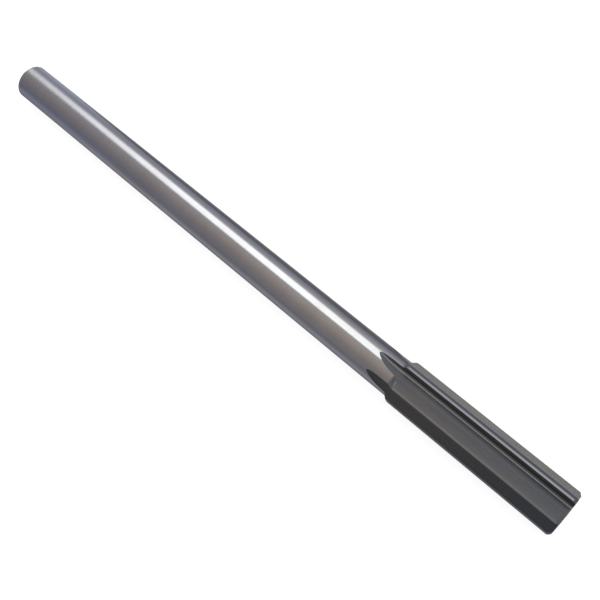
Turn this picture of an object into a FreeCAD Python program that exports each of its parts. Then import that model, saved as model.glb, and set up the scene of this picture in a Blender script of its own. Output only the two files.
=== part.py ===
import FreeCAD, Part
import math
import os

# Straight-shank machine reamer (chucking reamer), ground from one bar of tool steel:
# a plain cylindrical shank, and a slightly larger head with six straight flutes.
# Right-hand cut. The teeth are unevenly spaced in opposite pairs, so that the
# diameter can still be measured across two cutting edges.
# Lengths in millimetres, angles in degrees.

# ---- driving dimensions -----------------------------------------------------
INCH = 25.4
overall_length = 7.0 * INCH            # end of the shank to the cutting end
flute_length = 1.75 * INCH             # fluted head, from the step to the cutting end
head_d = 0.4375 * INCH                 # over the margins, 7/16 in
shank_d = 0.3730 * INCH                # standard shank for this size
shank_chamfer = 0.70                   # 45 degrees, at the driving end
step_root = 1.00                       # hollow radius where the shank meets the 45 degree step
step_fillet = 1.40                     # rounding where the step meets the head
lead_chamfer = 0.65                    # 45 degree cutting chamfer
tooth_at = (0.0, 58.03, 117.92, 180.0, 238.03, 297.92)   # uneven pitch
root_r = 3.85                          # the rake plane meets the flute floor here
root_fillet = 0.70
floor_slope = 2.0                      # flute floor at 88 degrees to the rake face
margin_w = 0.60                        # cylindrical land behind each cutting edge
relief_deg = 12.0                      # flat clearance behind the margin
lead_relief_deg = 12.0                 # flat clearance behind the cutting chamfer
cutter_r = 32.0                        # flute cutter, whose arc leaves the run-outs
cutter_past_step = 1.00                # cutter centre, measured from the start of the head
centre_pilot_d = 2.00                  # 60 degree centre holes, both ends
centre_pilot_len = 4.60
centre_mouth_d = 4.20

R = head_d / 2.0
r_s = shank_d / 2.0
L = overall_length
x_head = overall_length - flute_length
step_h = R - r_s


def rad(d):
    return math.radians(d)


def V(x, y, z):
    return FreeCAD.Vector(x, y, z)


def line(p, q):
    return Part.makeLine(p, q)


# ---- the land that it lies on -------------------------------------------------
slope = math.tan(rad(floor_slope))


def gap_after(k):
    return (tooth_at[(k + 1) % 6] - tooth_at[k]) % 360.0


def heel_of(k):
    """Radius of tooth k's heel, and its angle behind that tooth's cutting edge."""
    psi = rad(gap_after(k)) - margin_w / R          # end of the margin, from the next rake plane
    a, b = R * math.cos(psi), R * math.sin(psi)
    tangent = (math.sin(psi), -math.cos(psi))       # towards the heel
    inward = (-math.cos(psi), -math.sin(psi))
    c, s = math.cos(rad(relief_deg)), math.sin(rad(relief_deg))
    d = (c * tangent[0] + s * inward[0], c * tangent[1] + s * inward[1])
    q = (root_r + slope * b - a) / (d[0] - slope * d[1])    # where relief meets flute floor
    a, b = a + q * d[0], b + q * d[1]
    return math.hypot(a, b), gap_after(k) - math.degrees(math.atan2(b, a))


# It rests on the heel of tooth 2 and the cutting edge of tooth 3.
heel_r, heel_deg = heel_of(2)
h1 = rad(tooth_at[2] + heel_deg)
h2 = rad(tooth_at[3])
down = math.atan2(heel_r * math.cos(h1) - R * math.cos(h2),
                  R * math.sin(h2) - heel_r * math.sin(h1))
if math.cos(down - h1) < 0:
    down += math.pi
support = heel_r * math.cos(down - h1)              # height of the axis over that plane
up = math.degrees(down) - 180.0


def spot(angle, radius=1.0):
    """(y, z) at a tooth angle and radius; angles grow from straight up towards +Y."""
    t = rad(angle - up)
    return radius * math.sin(t), radius * math.cos(t)


# ---- turned blank, with its centre holes ----------------------------------------
u45 = step_root * math.tan(rad(22.5))               # tangent lengths of the two radii
t45 = step_fillet * math.tan(rad(22.5))
xs, xc, rc = x_head - u45, x_head + u45 * math.cos(rad(45.0)), r_s + u45 * math.sin(rad(45.0))
xn = xs + step_root * math.sin(rad(22.5))
rn = r_s + step_root - step_root * math.cos(rad(22.5))
xa, ra = x_head + step_h - t45 * math.cos(rad(45.0)), R - t45 * math.sin(rad(45.0))
xb = x_head + step_h + t45                          # full diameter from here
xm = xb + step_fillet * math.cos(rad(112.5))
rm = R - step_fillet + step_fillet * math.sin(rad(112.5))
mouth = centre_mouth_d / 2.0
pilot = centre_pilot_d / 2.0
cone = (mouth - pilot) / math.tan(rad(30.0))
deep = centre_pilot_len + pilot / math.tan(rad(59.0))    # 118 degree drill point

low = [V(deep, 0, 0), V(centre_pilot_len, 0, pilot), V(cone, 0, pilot), V(0, 0, mouth),
       V(0, 0, r_s - shank_chamfer), V(shank_chamfer, 0, r_s), V(xs, 0, r_s)]
high = [V(xb, 0, R), V(L - lead_chamfer, 0, R), V(L, 0, R - lead_chamfer), V(L, 0, mouth),
        V(L - cone, 0, pilot), V(L - centre_pilot_len, 0, pilot), V(L - deep, 0, 0), V(deep, 0, 0)]
edges = [line(p, q) for p, q in zip(low, low[1:])]
edges.append(Part.Arc(V(xs, 0, r_s), V(xn, 0, rn), V(xc, 0, rc)).toShape())
edges.append(line(V(xc, 0, rc), V(xa, 0, ra)))
edges.append(Part.Arc(V(xa, 0, ra), V(xm, 0, rm), V(xb, 0, R)).toShape())
edges += [line(p, q) for p, q in zip(high, high[1:])]
body = Part.Face(Part.Wire(edges)).revolve(V(0, 0, 0), V(1, 0, 0), 360.0)

# ---- flutes, straight along the head, run out on the cutter's arc into the shank --
x_w = x_head + cutter_past_step
fa = root_r + root_fillet * slope + root_fillet / math.cos(rad(floor_slope))
fb = root_fillet                                    # (fa, fb) is the centre of the root fillet
ta = fa - root_fillet * math.cos(rad(floor_slope))
tb = fb + root_fillet * math.sin(rad(floor_slope))
half = rad(45.0 - floor_slope / 2.0)
ma = fa - root_fillet * math.sin(half)
mb = fb - root_fillet * math.cos(half)
above = R + 1.6
beyond = R + 1.2
cuts = []
for k in range(6):
    ay, az = spot(tooth_at[k])                      # outwards, in the rake plane
    by, bz = spot(tooth_at[k] - 90.0)               # across the flute, ahead of the tooth

    def P(a, b):
        return V(x_w, a * ay + b * by, a * az + b * bz)

    section = Part.Face(Part.Wire([
        line(P(above, 0.0), P(fa, 0.0)),
        Part.Arc(P(fa, 0.0), P(ma, mb), P(ta, tb)).toShape(),
        line(P(ta, tb), P(root_r + slope * beyond, beyond)),
        line(P(root_r + slope * beyond, beyond), P(above, beyond)),
        line(P(above, beyond), P(above, 0.0)),
    ]))
    cuts.append(section.extrude(V(L + 5.0 - x_w, 0, 0)))
    hub = P(root_r + cutter_r, 0.0)
    runout = section.revolve(hub, V(0, by, bz), 32.0)
    if runout.BoundBox.XMin > x_w - 1.0:            # it has to sweep towards the shank
        runout = section.revolve(hub, V(0, by, bz), -32.0)
    cuts.append(runout)

# ---- flat clearance behind the margins ------------------------------------------
for k in range(6):
    end = tooth_at[k] + math.degrees(margin_w / R)
    my, mz = spot(end, R)
    ny, nz = spot(end)                              # outwards
    ty, tz = spot(end + 90.0)                       # towards the heel
    c, s = math.cos(rad(relief_deg)), math.sin(rad(relief_deg))
    dy, dz = 2.4 * (c * ty - s * ny), 2.4 * (c * tz - s * nz)
    x0 = x_head - 1.0
    p = [V(x0, my, mz), V(x0, my + dy, mz + dz),
         V(x0, my + dy + 1.5 * ny, mz + dz + 1.5 * nz), V(x0, my + 1.5 * ny, mz + 1.5 * nz)]
    cuts.append(Part.Face(Part.makePolygon(p + p[:1])).extrude(V(flute_length + 6.0, 0, 0)))

# ---- flat clearance behind the cutting chamfer ------------------------------------
for k in range(6):
    ry, rz = spot(tooth_at[k])
    ty, tz = spot(tooth_at[k] + 90.0)
    e0 = V(L - lead_chamfer - 0.6, (R + 0.6) * ry, (R + 0.6) * rz)
    e1 = V(L + 0.6, (R - lead_chamfer - 0.6) * ry, (R - lead_chamfer - 0.6) * rz)
    back = V(0, ty, tz)
    n = e1.sub(e0).cross(back)
    n.normalize()
    if n.x < 0:
        n = V(-n.x, -n.y, -n.z)
    fall = math.tan(rad(lead_relief_deg))
    f = V(2.6 * (back.x - fall * n.x), 2.6 * (back.y - fall * n.y), 2.6 * (back.z - fall * n.z))
    p = [e0, e1, e1.add(f), e0.add(f)]
    cuts.append(Part.Face(Part.makePolygon(p + p[:1])).extrude(V(2.0 * n.x, 2.0 * n.y, 2.0 * n.z)))

for c in cuts:
    body = body.cut(c)
body = body.removeSplitter()

# ---- lie it down: the start of two lands and the end of the shank touch the floor --
tilt = math.degrees(math.atan2(support - r_s, xb - shank_chamfer))
body.rotate(V(0, 0, 0), V(0, 1, 0), -tilt)
box = body.optimalBoundingBox(False, False)
body.translate(V(-(box.XMin + box.XMax) / 2.0, -(box.YMin + box.YMax) / 2.0, -box.ZMin))

os.makedirs("parts", exist_ok=True)
body.Solids[0].exportStep("parts/reamer_body.step")
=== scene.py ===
import math

import bmesh
import bpy
import numpy as np
from mathutils import Matrix, Vector
from mathutils.geometry import tessellate_polygon


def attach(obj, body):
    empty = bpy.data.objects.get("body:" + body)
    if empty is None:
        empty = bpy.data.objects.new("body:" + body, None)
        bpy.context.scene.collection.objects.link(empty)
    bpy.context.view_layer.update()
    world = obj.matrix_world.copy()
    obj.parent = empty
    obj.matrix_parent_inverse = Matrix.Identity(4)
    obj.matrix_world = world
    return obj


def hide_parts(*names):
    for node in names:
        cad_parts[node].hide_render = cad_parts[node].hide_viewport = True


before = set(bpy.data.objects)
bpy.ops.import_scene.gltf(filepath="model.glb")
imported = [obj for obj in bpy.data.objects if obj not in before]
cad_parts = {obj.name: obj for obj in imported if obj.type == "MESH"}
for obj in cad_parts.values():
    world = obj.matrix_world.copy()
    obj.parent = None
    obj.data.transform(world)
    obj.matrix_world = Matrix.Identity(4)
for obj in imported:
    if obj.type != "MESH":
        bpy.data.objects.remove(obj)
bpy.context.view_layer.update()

# ---------------------------------------------------------------------------
# The reamer's dimensions, in millimetres and degrees, as the CAD part has them
# ---------------------------------------------------------------------------
L = 177.8
X_HEAD = 133.35
R = 5.55625
R_S = 4.7371
SHANK_CHAMFER = 0.70
STEP_ROOT = 1.00
STEP_FILLET = 1.40
LEAD = 0.65
TOOTH_AT = (0.0, 58.03, 117.92, 180.0, 238.03, 297.92)
ROOT_R = 3.85
ROOT_FILLET = 0.70
FLOOR_SLOPE = 2.0
MARGIN_W = 0.60
RELIEF = 12.0
LEAD_RELIEF = 12.0
CUTTER_R = 32.0
X_W = X_HEAD + 1.00
PILOT_R = 1.00
PILOT_LEN = 4.60
MOUTH_R = 2.10
UP = -23.068139628302617               # tooth angle that points straight up
TILT = math.radians(0.16022783884911704)
SHIFT = (-88.90056552647381, 0.0, 4.736937114477967)

AXIS_Z = (SHIFT[2] - SHIFT[0] * math.tan(TILT)) / 1000.0  # height of the axis at the row's origin, in metres

rad = math.radians
SLOPE = math.tan(rad(FLOOR_SLOPE))


def to_row(p):
    """Tool coordinates in mm (x along the axis from the shank's end) to the row frame in metres."""
    x, y, z = p
    return ((x * math.cos(TILT) - z * math.sin(TILT) + SHIFT[0]) / 1000.0,
            (y + SHIFT[1]) / 1000.0,
            (x * math.sin(TILT) + z * math.cos(TILT) + SHIFT[2]) / 1000.0)


# ---------------------------------------------------------------------------
# Section of the tool at any place along its axis
# ---------------------------------------------------------------------------
FA = ROOT_R + ROOT_FILLET * SLOPE + ROOT_FILLET / math.cos(rad(FLOOR_SLOPE))
FB = ROOT_FILLET
TB = FB + ROOT_FILLET * math.sin(rad(FLOOR_SLOPE))      # floor joins the fillet
A_C = ROOT_R + CUTTER_R
U45 = STEP_ROOT * math.tan(rad(22.5))
XS = X_HEAD - U45                                       # the step's hollow radius starts
XC = X_HEAD + U45 * math.cos(rad(45.0))                 # and ends
T45 = STEP_FILLET * math.tan(rad(22.5))
STEP = R - R_S
XA = X_HEAD + STEP - T45 * math.cos(rad(45.0))
XB = X_HEAD + STEP + T45


def floor_a(b):
    """Height of the flute's floor in its straight part, b ahead of the rake plane."""
    if b >= TB:
        return ROOT_R + SLOPE * b
    return FA - math.sqrt(max(0.0, ROOT_FILLET ** 2 - (FB - b) ** 2))


def floor_at(b, x):
    """The same in the run-out, where the floor follows the cutter's arc."""
    a = floor_a(b)
    if x >= X_W:
        return a
    rho = A_C - a
    return A_C - math.sqrt(max(0.0, rho * rho - (X_W - x) ** 2))


def envelope(x):
    if x <= SHANK_CHAMFER:
        return R_S - SHANK_CHAMFER + x
    if x <= XS:
        return R_S
    if x < XC:
        return R_S + STEP_ROOT - math.sqrt(STEP_ROOT ** 2 - (x - XS) ** 2)
    if x <= XA:
        return R_S + (x - X_HEAD)
    if x < XB:
        return R - STEP_FILLET + math.sqrt(max(0.0, STEP_FILLET ** 2 - (XB - x) ** 2))
    return R


D_REL = R * math.cos(rad(RELIEF))
PHI_M = MARGIN_W / R                                    # margin's end, behind the edge
PHI_N = PHI_M + rad(RELIEF)


def outer_r(phi, x):
    """Outer radius at phi behind a cutting edge: the envelope, or the clearance flat."""
    r = envelope(x)
    if phi > PHI_M:
        r = min(r, D_REL / math.cos(phi - PHI_N))
    return r


def gap(k):
    return rad((TOOTH_AT[(k + 1) % 6] - TOOTH_AT[k]) % 360.0)


def over(b, k, x):
    """How far the flute ahead of tooth k + 1 cuts below the outer surface, at b."""
    a = floor_at(b, x)
    r, psi = math.hypot(a, b), math.atan2(b, a)
    return outer_r(gap(k) - psi, x) - r


def root(f, lo, hi):
    for _ in range(60):
        mid = 0.5 * (lo + hi)
        if (f(lo) > 0) == (f(mid) > 0):
            lo = mid
        else:
            hi = mid
    return 0.5 * (lo + hi)


def deepest(x):
    bs = np.linspace(0.05, 1.2, 231)
    v = [R_S - math.hypot(floor_at(b, x), b) for b in bs]
    i = int(np.argmax(v))
    return v[i], bs[i]


X_TIP = root(lambda x: deepest(x)[0], X_W - 12.0, X_W - 2.0)
B_TIP = deepest(X_TIP)[1]

N_FLOOR, N_FIL, N_WALL, N_MAR, N_REL = 8, 9, 4, 12, 8
N_FLUTE = N_FLOOR + N_FIL + N_WALL
N_LAND = N_MAR + N_REL


def section(x, k):
    """Points of tooth k's sector in its own rake-plane frame, as (a, s): along the rake plane
    and behind it. The flute ahead of the tooth comes first, from the heel of the tooth ahead."""
    p = (k - 1) % 6
    pts = []
    if x > X_TIP + 1e-9:
        mid = B_TIP
        if over(mid, p, x) < 0:
            mid = max(np.linspace(0.1, 1.5, 141), key=lambda b: over(b, p, x))
        b_h = root(lambda b: over(b, p, x), mid, 5.2)
        b_r = 0.0
        if over(1e-6, p, x) < 0:
            b_r = root(lambda b: over(b, p, x), 0.0, mid)
        join = max(min(TB, b_h), b_r)
        for t in np.linspace(0.0, 1.0, N_FLOOR):
            b = b_h + (join - b_h) * (1 - (1 - t) ** 1.5)
            pts.append((floor_at(b, x), -b))
        for i in range(1, N_FIL + 1):
            if b_r > 0 or join < TB - 1e-9:
                b = join + (b_r - join) * i / N_FIL
            else:                                       # equal steps of angle round the fillet
                e = rad(90.0 - FLOOR_SLOPE) * i / N_FIL
                b = FB - ROOT_FILLET * math.cos(rad(90.0 + FLOOR_SLOPE) - e)
                b = max(b, 0.0)
            pts.append((floor_at(b, x), -b))
        a0 = floor_at(b_r, x)
        a1 = outer_r(0.0, x) if b_r == 0.0 else a0
        for i in range(1, N_WALL + 1):
            pts.append((a0 + (a1 - a0) * i / N_WALL, -b_r))
        start = -math.atan2(b_r, a0) if b_r > 0 else 0.0
    else:
        a = floor_at(B_TIP, X_TIP)
        start = -math.atan2(B_TIP, a)
        pts = [(envelope(x) * math.cos(start), envelope(x) * math.sin(start))] * N_FLUTE
    # the land behind, up to the heel at the next flute
    if x > X_TIP + 1e-9:
        mid = B_TIP
        if over(mid, k, x) < 0:
            mid = max(np.linspace(0.1, 1.5, 141), key=lambda b: over(b, k, x))
        b_h = root(lambda b: over(b, k, x), mid, 5.2)
        end = gap(k) - math.atan2(b_h, floor_at(b_h, x))
    else:
        end = gap(k) + start
    r_e = envelope(x)
    split = end
    if r_e > D_REL:
        split = min(end, PHI_N - math.acos(D_REL / r_e))
    if split >= end - 1e-9:
        phis = list(np.linspace(start, end, N_LAND + 1))[1:]
    else:
        phis = list(np.linspace(start, split, N_MAR + 1))[1:] + list(np.linspace(split, end, N_REL + 1))[1:]
    for ph in phis:
        r = outer_r(ph, x)
        pts.append((r * math.cos(ph), r * math.sin(ph)))
    return pts


def place(a, s, k, x):
    """(a, s) of tooth k's frame to tool coordinates."""
    t = rad(TOOTH_AT[k] - UP)
    ay, az = math.sin(t), math.cos(t)
    sy, sz = math.cos(t), -math.sin(t)                  # behind the tooth
    return (x, a * ay + s * sy, a * az + s * sz)


# places along the axis
xs = [0.0, 0.02, 0.05, SHANK_CHAMFER - 0.05, SHANK_CHAMFER, SHANK_CHAMFER + 0.04]
xs += list(np.linspace(SHANK_CHAMFER + 0.4, X_TIP - 0.6, 24)) + [X_TIP]
xs += [X_TIP + (XS - X_TIP) * (i / 26.0) ** 1.8 for i in range(1, 26)]
xs += list(np.linspace(XS, XC, 8))
xs += list(np.linspace(XC, XA, 3))
xs += list(np.linspace(XA, XB, 10))
xs += list(np.linspace(XB, L, 14)[1:])
xs = sorted(set(round(x, 6) for x in xs))

SHANK, FLUTE, RAKE, MARGIN, LANDF, ENDS, STEPF, WALL = range(8)

bm = bmesh.new()
rings = []
for x in xs:
    ring = []
    for k in range(6):
        for a, s in section(x, k):
            ring.append(bm.verts.new(to_row(place(a, s, k, x))))
    rings.append(ring)
n = len(rings[0])
per = N_FLUTE + N_LAND
for i in range(len(xs) - 1):
    x_mid = 0.5 * (xs[i] + xs[i + 1])
    for j in range(n):
        q = j % per
        v = (rings[i][j], rings[i + 1][j], rings[i + 1][(j + 1) % n], rings[i][(j + 1) % n])
        if len({tuple(round(c, 9) for c in w.co) for w in v}) < 3:
            continue
        f = bm.faces.new(v)
        if q < N_FLOOR + N_FIL - 1:
            f.material_index = FLUTE
        elif q < N_FLUTE - 1:
            f.material_index = RAKE if x_mid > XC else WALL
        elif x_mid < SHANK_CHAMFER:
            f.material_index = ENDS
        elif x_mid < XS:
            f.material_index = SHANK
        elif x_mid < XB - 0.1:
            f.material_index = STEPF
        else:
            f.material_index = MARGIN if q < N_FLUTE + N_MAR - 1 else LANDF
print("rings", len(rings), "points", n, "tip", X_TIP, B_TIP)


def ring_of(x, r, count, offset=0.0):
    return [bm.verts.new(to_row((x, r * math.sin(2 * math.pi * i / count + offset),
                                 r * math.cos(2 * math.pi * i / count + offset)))) for i in range(count)]


def strip(a, b, flip, mat=None):
    m = len(a)
    for i in range(m):
        v = (a[i], b[i], b[(i + 1) % m], a[(i + 1) % m])
        f = bm.faces.new(v[::-1] if flip else v)
        f.material_index = ENDS if mat is None else mat


def cap(outer, inner, flip):
    """Flat end between a closed outline and the mouth of its centre hole."""
    flat = [[Vector((w.co.y, w.co.z, 0.0)) for w in loop] for loop in (outer, inner)]
    both = list(outer) + list(inner)
    for tri in tessellate_polygon(flat):
        v = [both[t] for t in tri]
        if len(set(v)) < 3:
            continue
        f = bm.faces.new(v)
        f.material_index = ENDS


def centre_hole(x0, sign, count=64):
    """Rings of a centre hole from its mouth at x0 inwards."""
    cone = (MOUTH_R - PILOT_R) / math.tan(rad(30.0))
    deep = PILOT_LEN + PILOT_R / math.tan(rad(59.0))
    rs = [ring_of(x0, MOUTH_R, count)]
    for x, r in ((cone * 0.5, (MOUTH_R + PILOT_R) / 2), (cone, PILOT_R), (PILOT_LEN, PILOT_R)):
        rs.append(ring_of(x0 + sign * x, r, count))
    for a, b in zip(rs, rs[1:]):
        strip(a, b, sign < 0)
    tip = bm.verts.new(to_row((x0 + sign * deep, 0.0, 0.0)))
    m = len(rs[-1])
    for i in range(m):
        v = (rs[-1][i], tip, rs[-1][(i + 1) % m])
        f = bm.faces.new(v if sign > 0 else v[::-1])
        f.material_index = ENDS
    return rs[0]


m0 = centre_hole(0.0, 1.0)
m1 = centre_hole(L, -1.0)
bm.verts.ensure_lookup_table()
bmesh.ops.remove_doubles(bm, verts=bm.verts, dist=2e-8)
bm.verts.ensure_lookup_table()


def loop_at(x):
    """The outline's vertices at a station, in order, once each."""
    want = []
    for k in range(6):
        for a, s in section(x, k):
            want.append(Vector(to_row(place(a, s, k, x))))
    found = []
    edge = [w for w in bm.verts if any(e.is_boundary for e in w.link_edges)]
    for p in want:
        w = min(edge, key=lambda q: (q.co - p).length_squared)
        if not found or found[-1] is not w:
            found.append(w)
    if found[0] is found[-1]:
        found.pop()
    return found


for x, m in ((xs[0], m0), (xs[-1], m1)):
    m = [w for w in m if w.is_valid]
    cap(loop_at(x), m, x > 1.0)
bmesh.ops.recalc_face_normals(bm, faces=bm.faces)
mesh = bpy.data.meshes.new("reamer")
bm.to_mesh(mesh)
bm.free()
reamer = bpy.data.objects.new("reamer", mesh)
bpy.context.scene.collection.objects.link(reamer)

# the cutting chamfer: one flat on each tooth, falling away behind its edge
cutters = bmesh.new()
for k in range(6):
    fall = math.tan(rad(LEAD_RELIEF))
    c45 = math.sqrt(0.5)

    def corner(u, w, h, k=k):
        """u along the chamfer edge, w behind it, h outwards; from the chamfer's start."""
        x = L - LEAD + u * c45
        a = R - u * c45
        nx, na = c45, c45
        x += w * (-fall * nx) + h * nx
        a += w * (-fall * na) + h * na
        return to_row(place(a, w, k, x))

    lo, hi = -0.85, LEAD / c45 + 0.85
    v = [cutters.verts.new(corner(u, w, h)) for h in (0.0, 2.0) for u, w in ((lo, -0.4), (hi, -0.4), (hi, 2.7), (lo, 2.7))]
    for q in ((0, 1, 2, 3), (7, 6, 5, 4), (0, 4, 5, 1), (1, 5, 6, 2), (2, 6, 7, 3), (3, 7, 4, 0)):
        cutters.faces.new([v[i] for i in q]).material_index = RAKE
bmesh.ops.recalc_face_normals(cutters, faces=cutters.faces)
cm = bpy.data.meshes.new("lead_cutters")
cutters.to_mesh(cm)
cutters.free()
cutter = bpy.data.objects.new("lead_cutters", cm)
bpy.context.scene.collection.objects.link(cutter)


# ---------------------------------------------------------------------------
# Materials
# ---------------------------------------------------------------------------
class Net:
    """Short hand for a node tree."""

    def __init__(self, tree):
        self.t = tree
        self.n = 0

    def add(self, kind, **props):
        node = self.t.nodes.new(kind)
        node.location = (-200.0 * (self.n % 12), -180.0 * (self.n // 12))
        self.n += 1
        for k, v in props.items():
            setattr(node, k, v)
        return node

    def put(self, node, name, value):
        s = node.inputs[name]
        if isinstance(value, bpy.types.NodeSocket):
            self.t.links.new(value, s)
        else:
            s.default_value = value

    def math(self, op, a, b=0.0, c=None, clamp=False):
        node = self.add("ShaderNodeMath", operation=op, use_clamp=clamp)
        self.put(node, 0, a)
        self.put(node, 1, b)
        if c is not None:
            self.put(node, 2, c)
        return node.outputs[0]

    def span(self, v, a, b, c, d, smooth=False):
        """v from a..b to c..d, held at the ends."""
        node = self.add("ShaderNodeMapRange", clamp=True)
        if smooth:
            node.interpolation_type = "SMOOTHSTEP"
        for i, q in enumerate((v, a, b, c, d)):
            self.put(node, i, q)
        return node.outputs[0]

    def mix(self, f, a, b, blend="MIX"):
        node = self.add("ShaderNodeMix", data_type="RGBA", blend_type=blend)
        node.clamp_factor = True
        for i, q in ((0, f), (6, a), (7, b)):
            self.put(node, i, q)
        return node.outputs[2]

    def ramp(self, f, stops, ease="LINEAR"):
        node = self.add("ShaderNodeValToRGB")
        cr = node.color_ramp
        cr.interpolation = ease
        while len(cr.elements) < len(stops):
            cr.elements.new(1.0)
        for e, (p, col) in zip(cr.elements, stops):
            e.position = p
        for e, (p, col) in zip(cr.elements, stops):
            e.color = (*col, 1.0) if len(col) == 3 else col
        self.put(node, 0, f)
        return node.outputs[0]

    def curve(self, f, pts):
        """A straight-line graph through pts, both ways 0..1."""
        node = self.add("ShaderNodeFloatCurve")
        c = node.mapping.curves[0]
        while len(c.points) < len(pts):
            c.points.new(0.5, 0.5)
        for q, (x, y) in zip(c.points, pts):
            q.location = (x, y)
            q.handle_type = "VECTOR"
        node.mapping.update()
        self.put(node, "Value", f)
        return node.outputs[0]

    def noise(self, vec, scale, detail=2.0, rough=0.5, dim="3D", w=0.0, distort=0.0):
        node = self.add("ShaderNodeTexNoise", noise_dimensions=dim)
        if vec is not None and dim != "1D":
            self.put(node, "Vector", vec)
        if dim in ("1D", "4D"):
            self.put(node, "W", w)
        self.put(node, "Scale", scale)
        self.put(node, "Detail", detail)
        self.put(node, "Roughness", rough)
        self.put(node, "Distortion", distort)
        return node.outputs[0]

    def stretch(self, vec, scale, turn_y=0.0, move=(0.0, 0.0, 0.0)):
        node = self.add("ShaderNodeMapping")
        self.put(node, "Vector", vec)
        node.inputs["Location"].default_value = move
        node.inputs["Rotation"].default_value = (0.0, turn_y, 0.0)
        node.inputs["Scale"].default_value = scale
        return node.outputs[0]


def steel(name, color, tint, rough, grain, aniso, lines, patch=0.10, line_color=0.10, line_rough=0.05, bump=0.5e-6):
    """Ground or milled tool steel. grain is the way its lines run: "round" the axis, "along" it, or "face" for turned
    rings on an end. color is the metal, tint what the patches turn to."""
    m = bpy.data.materials.new(name)
    m.use_nodes = True
    g = Net(m.node_tree)
    b = m.node_tree.nodes["Principled BSDF"]
    b.inputs["Metallic"].default_value = 1.0
    b.inputs["Anisotropic"].default_value = aniso
    here = g.add("ShaderNodeTexCoord").outputs["Object"]
    if grain == "face":
        xyz = g.add("ShaderNodeSeparateXYZ")
        g.put(xyz, 0, here)
        y = xyz.outputs[1]
        z = g.math("SUBTRACT", xyz.outputs[2], g.math("MULTIPLY_ADD", xyz.outputs[0], math.tan(TILT), AXIS_Z))
        r = g.math("SQRT", g.math("ADD", g.math("MULTIPLY", y, y), g.math("MULTIPLY", z, z)))
        fine = g.noise(None, 1.0, 3.0, 0.6, "1D", g.math("MULTIPLY", r, lines))
        coarse = g.noise(None, 1.0, 2.0, 0.5, "1D", g.math("MULTIPLY", r, lines * 0.22))
    else:
        k = (1.0, 0.02, 0.02) if grain == "round" else (0.006, 1.0, 1.0)
        fine = g.noise(g.stretch(here, [q * lines for q in k], TILT), 1.0, 3.0, 0.6)
        coarse = g.noise(g.stretch(here, [q * lines * 0.2 for q in k], TILT, (3.1, 1.7, 0.4)), 1.0, 2.0, 0.5)
    patches = g.noise(here, 160.0, 4.0, 0.55)
    cloud = g.span(patches, 0.32, 0.70, 0.0, 1.0, True)
    col = g.mix(g.math("MULTIPLY", cloud, patch), (*color, 1.0), (*tint, 1.0))
    shade = g.math("ADD", g.span(fine, 0.25, 0.75, 1.0 - line_color, 1.0 + line_color * 0.6),
                   g.span(coarse, 0.25, 0.75, -line_color * 0.7, line_color * 0.7))
    grey = g.add("ShaderNodeCombineColor")
    for i in range(3):
        g.put(grey, i, shade)
    col = g.mix(1.0, col, grey.outputs[0], "MULTIPLY")
    ro = g.math("ADD", g.span(fine, 0.25, 0.75, rough - line_rough, rough + line_rough),
                g.span(patches, 0.3, 0.7, -0.5 * line_rough, 0.5 * line_rough))
    g.put(b, "Base Color", col)
    g.put(b, "Roughness", ro)
    height = g.math("ADD", fine, g.math("MULTIPLY", coarse, 2.0))
    bp = g.add("ShaderNodeBump")
    bp.inputs["Strength"].default_value = 1.0
    bp.inputs["Distance"].default_value = bump
    g.put(bp, "Height", height)
    g.put(b, "Normal", bp.outputs[0])
    axis = g.add("ShaderNodeCombineXYZ")
    for i, q in enumerate((math.cos(TILT), 0.0, math.sin(TILT))):
        axis.inputs[i].default_value = q
    if grain == "round":
        g.put(b, "Tangent", axis.outputs[0])
    elif grain == "along":
        cross = g.add("ShaderNodeVectorMath", operation="CROSS_PRODUCT")
        g.put(cross, 0, axis.outputs[0])
        g.put(cross, 1, g.add("ShaderNodeNewGeometry").outputs["Normal"])
        g.put(b, "Tangent", cross.outputs[0])
    return m


mats = [
    steel("shank_ground", (0.600, 0.590, 0.585), (0.570, 0.540, 0.510), 0.20, "round", 0.80, 9000.0, 0.5, 0.03, 0.03, 0.20e-6),
    steel("flute_milled", (0.170, 0.170, 0.180), (0.175, 0.169, 0.164), 0.26, "along", 0.50, 7000.0, 0.8, 0.12, 0.05, 0.7e-6),
    steel("rake_ground", (0.420, 0.415, 0.412), (0.375, 0.365, 0.355), 0.26, "along", 0.60, 9000.0, 0.6, 0.12, 0.05, 0.5e-6),
    steel("margin_ground", (0.640, 0.630, 0.625), (0.600, 0.575, 0.550), 0.22, "round", 0.70, 9000.0, 0.5, 0.05, 0.04, 0.2e-6),
    steel("land_ground", (0.320, 0.328, 0.340), (0.300, 0.296, 0.290), 0.30, "along", 0.60, 8000.0, 0.7, 0.10, 0.05, 0.5e-6),
    steel("ends_turned", (0.420, 0.415, 0.420), (0.330, 0.320, 0.320), 0.33, "face", 0.0, 9000.0, 0.7, 0.12, 0.06, 0.6e-6),
    steel("step_ground", (0.520, 0.510, 0.495), (0.460, 0.440, 0.415), 0.30, "round", 0.50, 7000.0, 0.6, 0.08, 0.05, 0.5e-6),
    steel("runout_wall", (0.480, 0.475, 0.475), (0.420, 0.410, 0.400), 0.58, "along", 0.30, 7000.0, 0.7, 0.12, 0.05, 0.7e-6),
]
for m in mats:
    reamer.data.materials.append(m)
    cutter.data.materials.append(m)

mod = reamer.modifiers.new("lead", "BOOLEAN")
mod.operation = "DIFFERENCE"
mod.solver = "EXACT"
mod.object = cutter
bpy.context.view_layer.update()
dg = bpy.context.evaluated_depsgraph_get()
done = bpy.data.meshes.new_from_object(reamer.evaluated_get(dg))
reamer.modifiers.clear()
reamer.data = done
bpy.data.objects.remove(cutter)
for p in reamer.data.polygons:
    p.use_smooth = True
reamer.data.set_sharp_from_angle(angle=rad(24.0))
w = reamer.modifiers.new("flat_faces_stay_flat", "WEIGHTED_NORMAL")
w.keep_sharp = True
w.weight = 100
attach(reamer, "root")
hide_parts("reamer_body")

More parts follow.
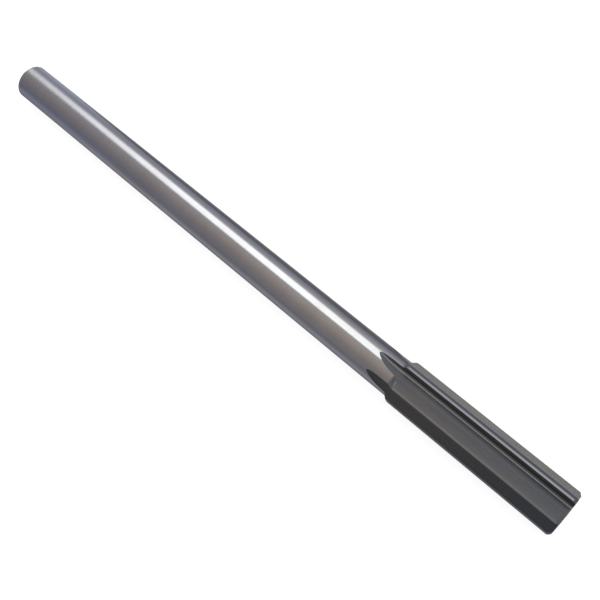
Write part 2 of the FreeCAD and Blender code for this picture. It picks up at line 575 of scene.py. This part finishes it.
# ---------------------------------------------------------------------------
# Camera: above the head, looking back along the shank
# ---------------------------------------------------------------------------
THETA_UP = 0.19489
CX, CD, PAN, TILTC, ROLL, F_PX = 173.84579, 184.85699, -0.36468, 0.00071, -0.68264, 842.78152


def tool_vec(x, v, w):
    return (x, v * math.cos(THETA_UP) - w * math.sin(THETA_UP), w * math.cos(THETA_UP) + v * math.sin(THETA_UP))


def turn(v):
    x, y, z = v
    return Vector((x * math.cos(TILT) - z * math.sin(TILT), y, x * math.sin(TILT) + z * math.cos(TILT)))


ca, sa = math.cos(PAN), math.sin(PAN)
cb, sb = math.cos(TILTC), math.sin(TILTC)
cr, sr = math.cos(ROLL), math.sin(ROLL)
Ry = np.array([[ca, 0, sa], [0, 1, 0], [-sa, 0, ca]])
Rx = np.array([[1, 0, 0], [0, cb, -sb], [0, sb, cb]])
Rz = np.array([[cr, -sr, 0], [sr, cr, 0], [0, 0, 1]])
Q = Rz @ Rx @ Ry
axes = [turn(tool_vec(*row)) for row in Q]
cam_data = bpy.data.cameras.new("camera")
cam = bpy.data.objects.new("camera", cam_data)
bpy.context.scene.collection.objects.link(cam)
cam_data.sensor_width = 36.0
cam_data.lens = F_PX / 600.0 * 36.0
cam_data.clip_start = 0.01
cam_data.clip_end = 20.0
M = Matrix.Identity(4)
for i in range(3):
    for j in range(3):
        M[j][i] = axes[i][j]
M.translation = Vector(to_row(tool_vec(CX, 0.0, CD)))
cam.matrix_world = M
bpy.context.scene.camera = cam

# ---------------------------------------------------------------------------
# Studio: a light tent with one long soft strip, over a plain white floor
# ---------------------------------------------------------------------------
world = bpy.data.worlds.new("tent")
bpy.context.scene.world = world
world.use_nodes = True
g = Net(world.node_tree)
bg = world.node_tree.nodes["Background"]
way = g.add("ShaderNodeSeparateXYZ")
g.put(way, 0, g.add("ShaderNodeTexCoord").outputs["Generated"])
dx, dy, dz = way.outputs
PHI = g.math("MULTIPLY", g.math("ARCTAN2", dy, dz), 180.0 / math.pi)      # round the tool, 0 straight up


def tent(stops):
    """Brightness and colour by the angle round the tool: (degrees, value, red / green, blue / green)."""
    f = g.span(PHI, -180.0, 180.0, 0.0, 1.0)
    return g.ramp(f, [((a + 180.0) / 360.0, (v * r, v, v * bl)) for a, v, r, bl in stops])


near = tent([(-180, 0.20, 1.0, 1.15), (-100, 0.21, 1.01, 1.16), (-80, 0.26, 1.05, 1.04), (-60, 0.285, 1.09, 0.95),
             (-40, 0.32, 1.16, 0.93), (-20, 0.41, 1.17, 0.93), (0, 0.505, 1.11, 0.95), (10, 0.54, 1.02, 0.98),
             (55, 0.60, 0.99, 1.05), (62, 0.46, 0.98, 1.08), (70, 0.38, 0.97, 1.12), (80, 0.32, 0.97, 1.15), (90, 0.24, 0.98, 1.17),
             (100, 0.17, 1.0, 1.2), (180, 0.16, 1.0, 1.15)])
far = tent([(-180, 0.20, 0.95, 1.35), (-90, 0.19, 0.94, 1.43), (-80, 0.18, 0.96, 1.38), (-60, 0.21, 1.0, 1.24),
            (-40, 0.23, 1.03, 1.16), (-20, 0.265, 1.04, 1.14), (0, 0.305, 1.01, 1.12), (20, 0.36, 0.98, 1.11),
            (45, 0.45, 0.96, 1.1), (60, 0.50, 0.95, 1.16), (70, 0.42, 0.94, 1.2), (80, 0.34, 0.93, 1.26), (90, 0.33, 0.93, 1.29),
            (110, 0.42, 0.94, 1.24), (180, 0.30, 0.95, 1.2)])
k_far = g.span(dx, -0.29, -0.645, 0.0, 1.0)
col = g.mix(k_far, near, far)
# the strip: its two long edges wander a little along its length, and it fades at its far end
U = g.span(dx, -0.80, 0.60, 0.0, 1.0)


def along(pts, scale):
    return g.math("MULTIPLY", g.curve(U, [((x + 0.80) / 1.40, y / scale) for x, y in pts]), scale)


LO = along([(-0.80, 40), (-0.678, 33.0), (-0.647, 29.5), (-0.614, 26.5), (-0.579, 22.0), (-0.542, 19.0), (-0.493, 15.5),
            (-0.441, 13.5), (-0.388, 13.0), (-0.276, 13.5), (0.60, 13.5)], 90.0)
HI = along([(-0.80, 80), (-0.678, 69.0), (-0.647, 64.0), (-0.614, 60.0), (-0.579, 57.5), (-0.542, 56.0), (-0.493, 55.0),
            (-0.441, 53.5), (-0.388, 53.0), (-0.276, 51.5), (0.60, 51.5)], 90.0)
SOFT = along([(-0.80, 14.0), (-0.628, 8.0), (-0.579, 5.0), (-0.542, 3.0), (0.60, 3.0)], 90.0)
GAIN = along([(-0.80, 0.20), (-0.72, 0.45), (-0.678, 0.72), (-0.647, 1.05), (-0.614, 1.45), (-0.579, 1.75), (-0.542, 1.82),
              (-0.493, 1.82), (-0.276, 1.78), (0.25, 1.7), (0.50, 0.0), (0.60, 0.0)], 2.0)
up = g.span(g.math("SUBTRACT", PHI, LO), g.math("MULTIPLY", SOFT, -0.5), g.math("MULTIPLY", SOFT, 0.5), 0.0, 1.0, True)
down = g.span(g.math("SUBTRACT", PHI, HI), g.math("MULTIPLY", SOFT, -2.6), g.math("MULTIPLY", SOFT, 1.2), 1.0, 0.0, True)
strip_f = g.math("MULTIPLY", g.math("MULTIPLY", up, down), 1.0)
key_col = g.mix(k_far, (0.99, 1.0, 1.01, 1.0), (0.97, 1.0, 1.10, 1.0))
gain = g.add("ShaderNodeCombineColor")
for i in range(3):
    g.put(gain, i, GAIN)
key_col = g.mix(1.0, key_col, gain.outputs[0], "MULTIPLY")
col = g.mix(strip_f, col, g.mix(1.0, col, key_col, "LIGHTEN"))
# a person with a camera stands overhead, beyond the head, and takes some of the light from there
where = g.span(PHI, -180.0, 180.0, 0.0, 1.0)
body = g.curve(where, [((a + 180.0) / 360.0, v) for a, v in
                       ((-180, 0), (-100, 0), (-65, 1), (-45, 0.6), (-30, 0.35), (-15, 0.8), (-5, 1), (8, 1), (14, 0), (180, 0))])
shade = g.math("SUBTRACT", 1.0, g.math("MULTIPLY", body, g.span(dx, -0.31, 0.01, 0.0, 0.32)))
bright = g.curve(where, [((a + 180.0) / 360.0, v) for a, v in
                         ((-180, 0.5), (14, 0.5), (30, 0), (56, 0), (62, 1), (72, 1), (84, 0.5), (180, 0.5))])
shade = g.math("MULTIPLY", shade, g.math("ADD", 1.0, g.math("MULTIPLY", g.math("SUBTRACT", bright, 0.5),
                                                            g.span(dx, -0.26, -0.20, 0.0, 0.40))))
# and its light is cooler there
k_cool = g.math("MINIMUM", g.math("MULTIPLY", g.span(dx, -0.27, 0.0, 0.0, 1.0), g.span(PHI, 20.0, 45.0, 1.0, 0.0)),
                g.span(PHI, -22.0, -12.0, 1.0, 0.30))
cool = g.ramp(k_cool, [(0.0, (1.0, 1.0, 1.0)), (0.20, (0.95, 1.0, 1.0)), (0.30, (0.92, 1.0, 1.01)), (0.60, (0.91, 1.0, 1.04)),
                       (1.0, (0.84, 1.0, 1.12))])
col = g.mix(1.0, col, cool, "MULTIPLY")
# the tent's two ends are darker
ends = g.math("MULTIPLY", g.span(dx, 0.10, 0.55, 1.0, 0.85, True), shade)
e = g.add("ShaderNodeCombineColor")
for i, low in enumerate((0.50, 0.47, 0.41)):
    g.put(e, i, g.math("MULTIPLY", ends, g.span(dx, -0.75, -0.95, 1.0, low, True)))
g.put(bg, "Color", g.mix(1.0, col, e.outputs[0], "MULTIPLY"))
bg.inputs["Strength"].default_value = 1.0


def plane(name, half, z):
    me = bpy.data.meshes.new(name)
    me.from_pydata([(-half, -half, z), (half, -half, z), (half, half, z), (-half, half, z)], [], [(0, 1, 2, 3)])
    ob = bpy.data.objects.new(name, me)
    bpy.context.scene.collection.objects.link(ob)
    return ob


# what the eye sees: white acrylic, half lit from below
floor = plane("floor", 12.0, 0.0)
fmat = bpy.data.materials.new("floor_white")
fmat.use_nodes = True
fb = fmat.node_tree.nodes["Principled BSDF"]
fb.inputs["Base Color"].default_value = (0.16, 0.16, 0.16, 1)
fb.inputs["Roughness"].default_value = 1.0
fb.inputs["Specular IOR Level"].default_value = 0.0
fb.inputs["Emission Color"].default_value = (1.0, 1.0, 1.0, 1)
fb.inputs["Emission Strength"].default_value = 0.86
floor.data.materials.append(fmat)
floor.visible_glossy = False

# what the steel mirrors: a second table seen only in reflections; its glow is painted light and painted shade, set by
# place across and along it, with a painted contact shadow under the tool, and only its dim diffuse part takes real
# light and shadow; so that the outline stays dark against the white
dark = plane("table_below", 12.0, -0.0002)
dmat = bpy.data.materials.new("table_painted_shade")
dmat.use_nodes = True
db = dmat.node_tree.nodes["Principled BSDF"]
g = Net(dmat.node_tree)
at = g.add("ShaderNodeSeparateXYZ")
g.put(at, 0, g.add("ShaderNodeTexCoord").outputs["Object"])


def across(stops):
    """Painted light and shade by the distance across the table, in mm: (mm, value, red / green, blue / green)."""
    f = g.span(at.outputs[1], -0.060, 0.060, 0.0, 1.0)
    return g.ramp(f, [((y + 60.0) / 120.0, (v * r, v, v * bl)) for y, v, r, bl in stops])


# near the tool: painted reflection of a lit floor, with a painted contact shadow from -8 to 6 mm under the tool
t_near = across([(-60, 0.20, 1.0, 1.12), (-50, 0.21, 1.0, 1.12), (-25, 0.235, 1.0, 1.15), (-17, 0.29, 1.0, 1.17),
                 (-11, 0.36, 0.99, 1.17), (-8, 0.26, 0.99, 1.15), (-6, 0.17, 1.0, 1.12), (-2, 0.13, 1.0, 1.1), (2, 0.13, 1.0, 1.1), (6, 0.25, 1.0, 1.1),
                 (12, 0.24, 1.0, 1.12), (16, 0.19, 1.0, 1.15), (23, 0.15, 1.0, 1.2), (31, 0.15, 1.0, 1.25), (46, 0.17, 1.0, 1.22),
                 (60, 0.20, 1.0, 1.2)])
# beyond the shank's end: painted reflection of a lit floor, lighter on the +y side, with a painted contact shadow at 0
# mm
t_far = across([(-60, 0.21, 0.94, 1.45), (-50, 0.22, 0.94, 1.45), (-25, 0.29, 0.94, 1.40), (-17, 0.30, 0.94, 1.36),
                (-11, 0.26, 0.94, 1.30), (-4, 0.20, 0.95, 1.2), (0, 0.15, 1.0, 1.1), (6, 0.42, 0.94, 1.2), (12, 0.47, 0.94, 1.21),
                (20, 0.47, 0.94, 1.22), (30, 0.46, 0.93, 1.24), (46, 0.42, 0.93, 1.27), (60, 0.38, 0.93, 1.28)])
# painted light and shade: the near and far paintings blended along the table, used as the table's glow
painted_light_tone = g.mix(g.span(at.outputs[0], -0.064, -0.088, 0.0, 1.0, True), t_near, t_far)
g.put(db, "Emission Color", painted_light_tone)
db.inputs["Emission Strength"].default_value = 0.72
g.put(db, "Base Color", g.mix(1.0, painted_light_tone, (0.28, 0.28, 0.28, 1.0), "MULTIPLY"))
db.inputs["Roughness"].default_value = 1.0
db.inputs["Specular IOR Level"].default_value = 0.0
dark.data.materials.append(dmat)
dark.visible_camera = False
dark.visible_diffuse = False
dark.visible_shadow = False

# a broad soft light overhead for the floor
ld = bpy.data.lights.new("overhead", "AREA")
ld.shape = "SQUARE"
ld.size = 2.4
ld.energy = 42.0
over_l = bpy.data.objects.new("overhead", ld)
bpy.context.scene.collection.objects.link(over_l)
over_l.location = (0.0, 0.0, 1.6)
over_l.visible_glossy = False
over_l.visible_camera = False

# white all round, for the eye only
bm = bmesh.new()
bmesh.ops.create_uvsphere(bm, u_segments=48, v_segments=24, radius=9.0)
me = bpy.data.meshes.new("backdrop")
bm.to_mesh(me)
bm.free()
back = bpy.data.objects.new("backdrop", me)
bpy.context.scene.collection.objects.link(back)
bmat = bpy.data.materials.new("backdrop_white")
bmat.use_nodes = True
bb = bmat.node_tree.nodes["Principled BSDF"]
bb.inputs["Base Color"].default_value = (0, 0, 0, 1)
bb.inputs["Specular IOR Level"].default_value = 0.0
bb.inputs["Emission Color"].default_value = (1.0, 1.0, 1.0, 1)
bb.inputs["Emission Strength"].default_value = 1.0
me.materials.append(bmat)
back.visible_glossy = back.visible_diffuse = back.visible_shadow = back.visible_transmission = False
bpy.context.scene.view_settings.view_transform = "Standard"
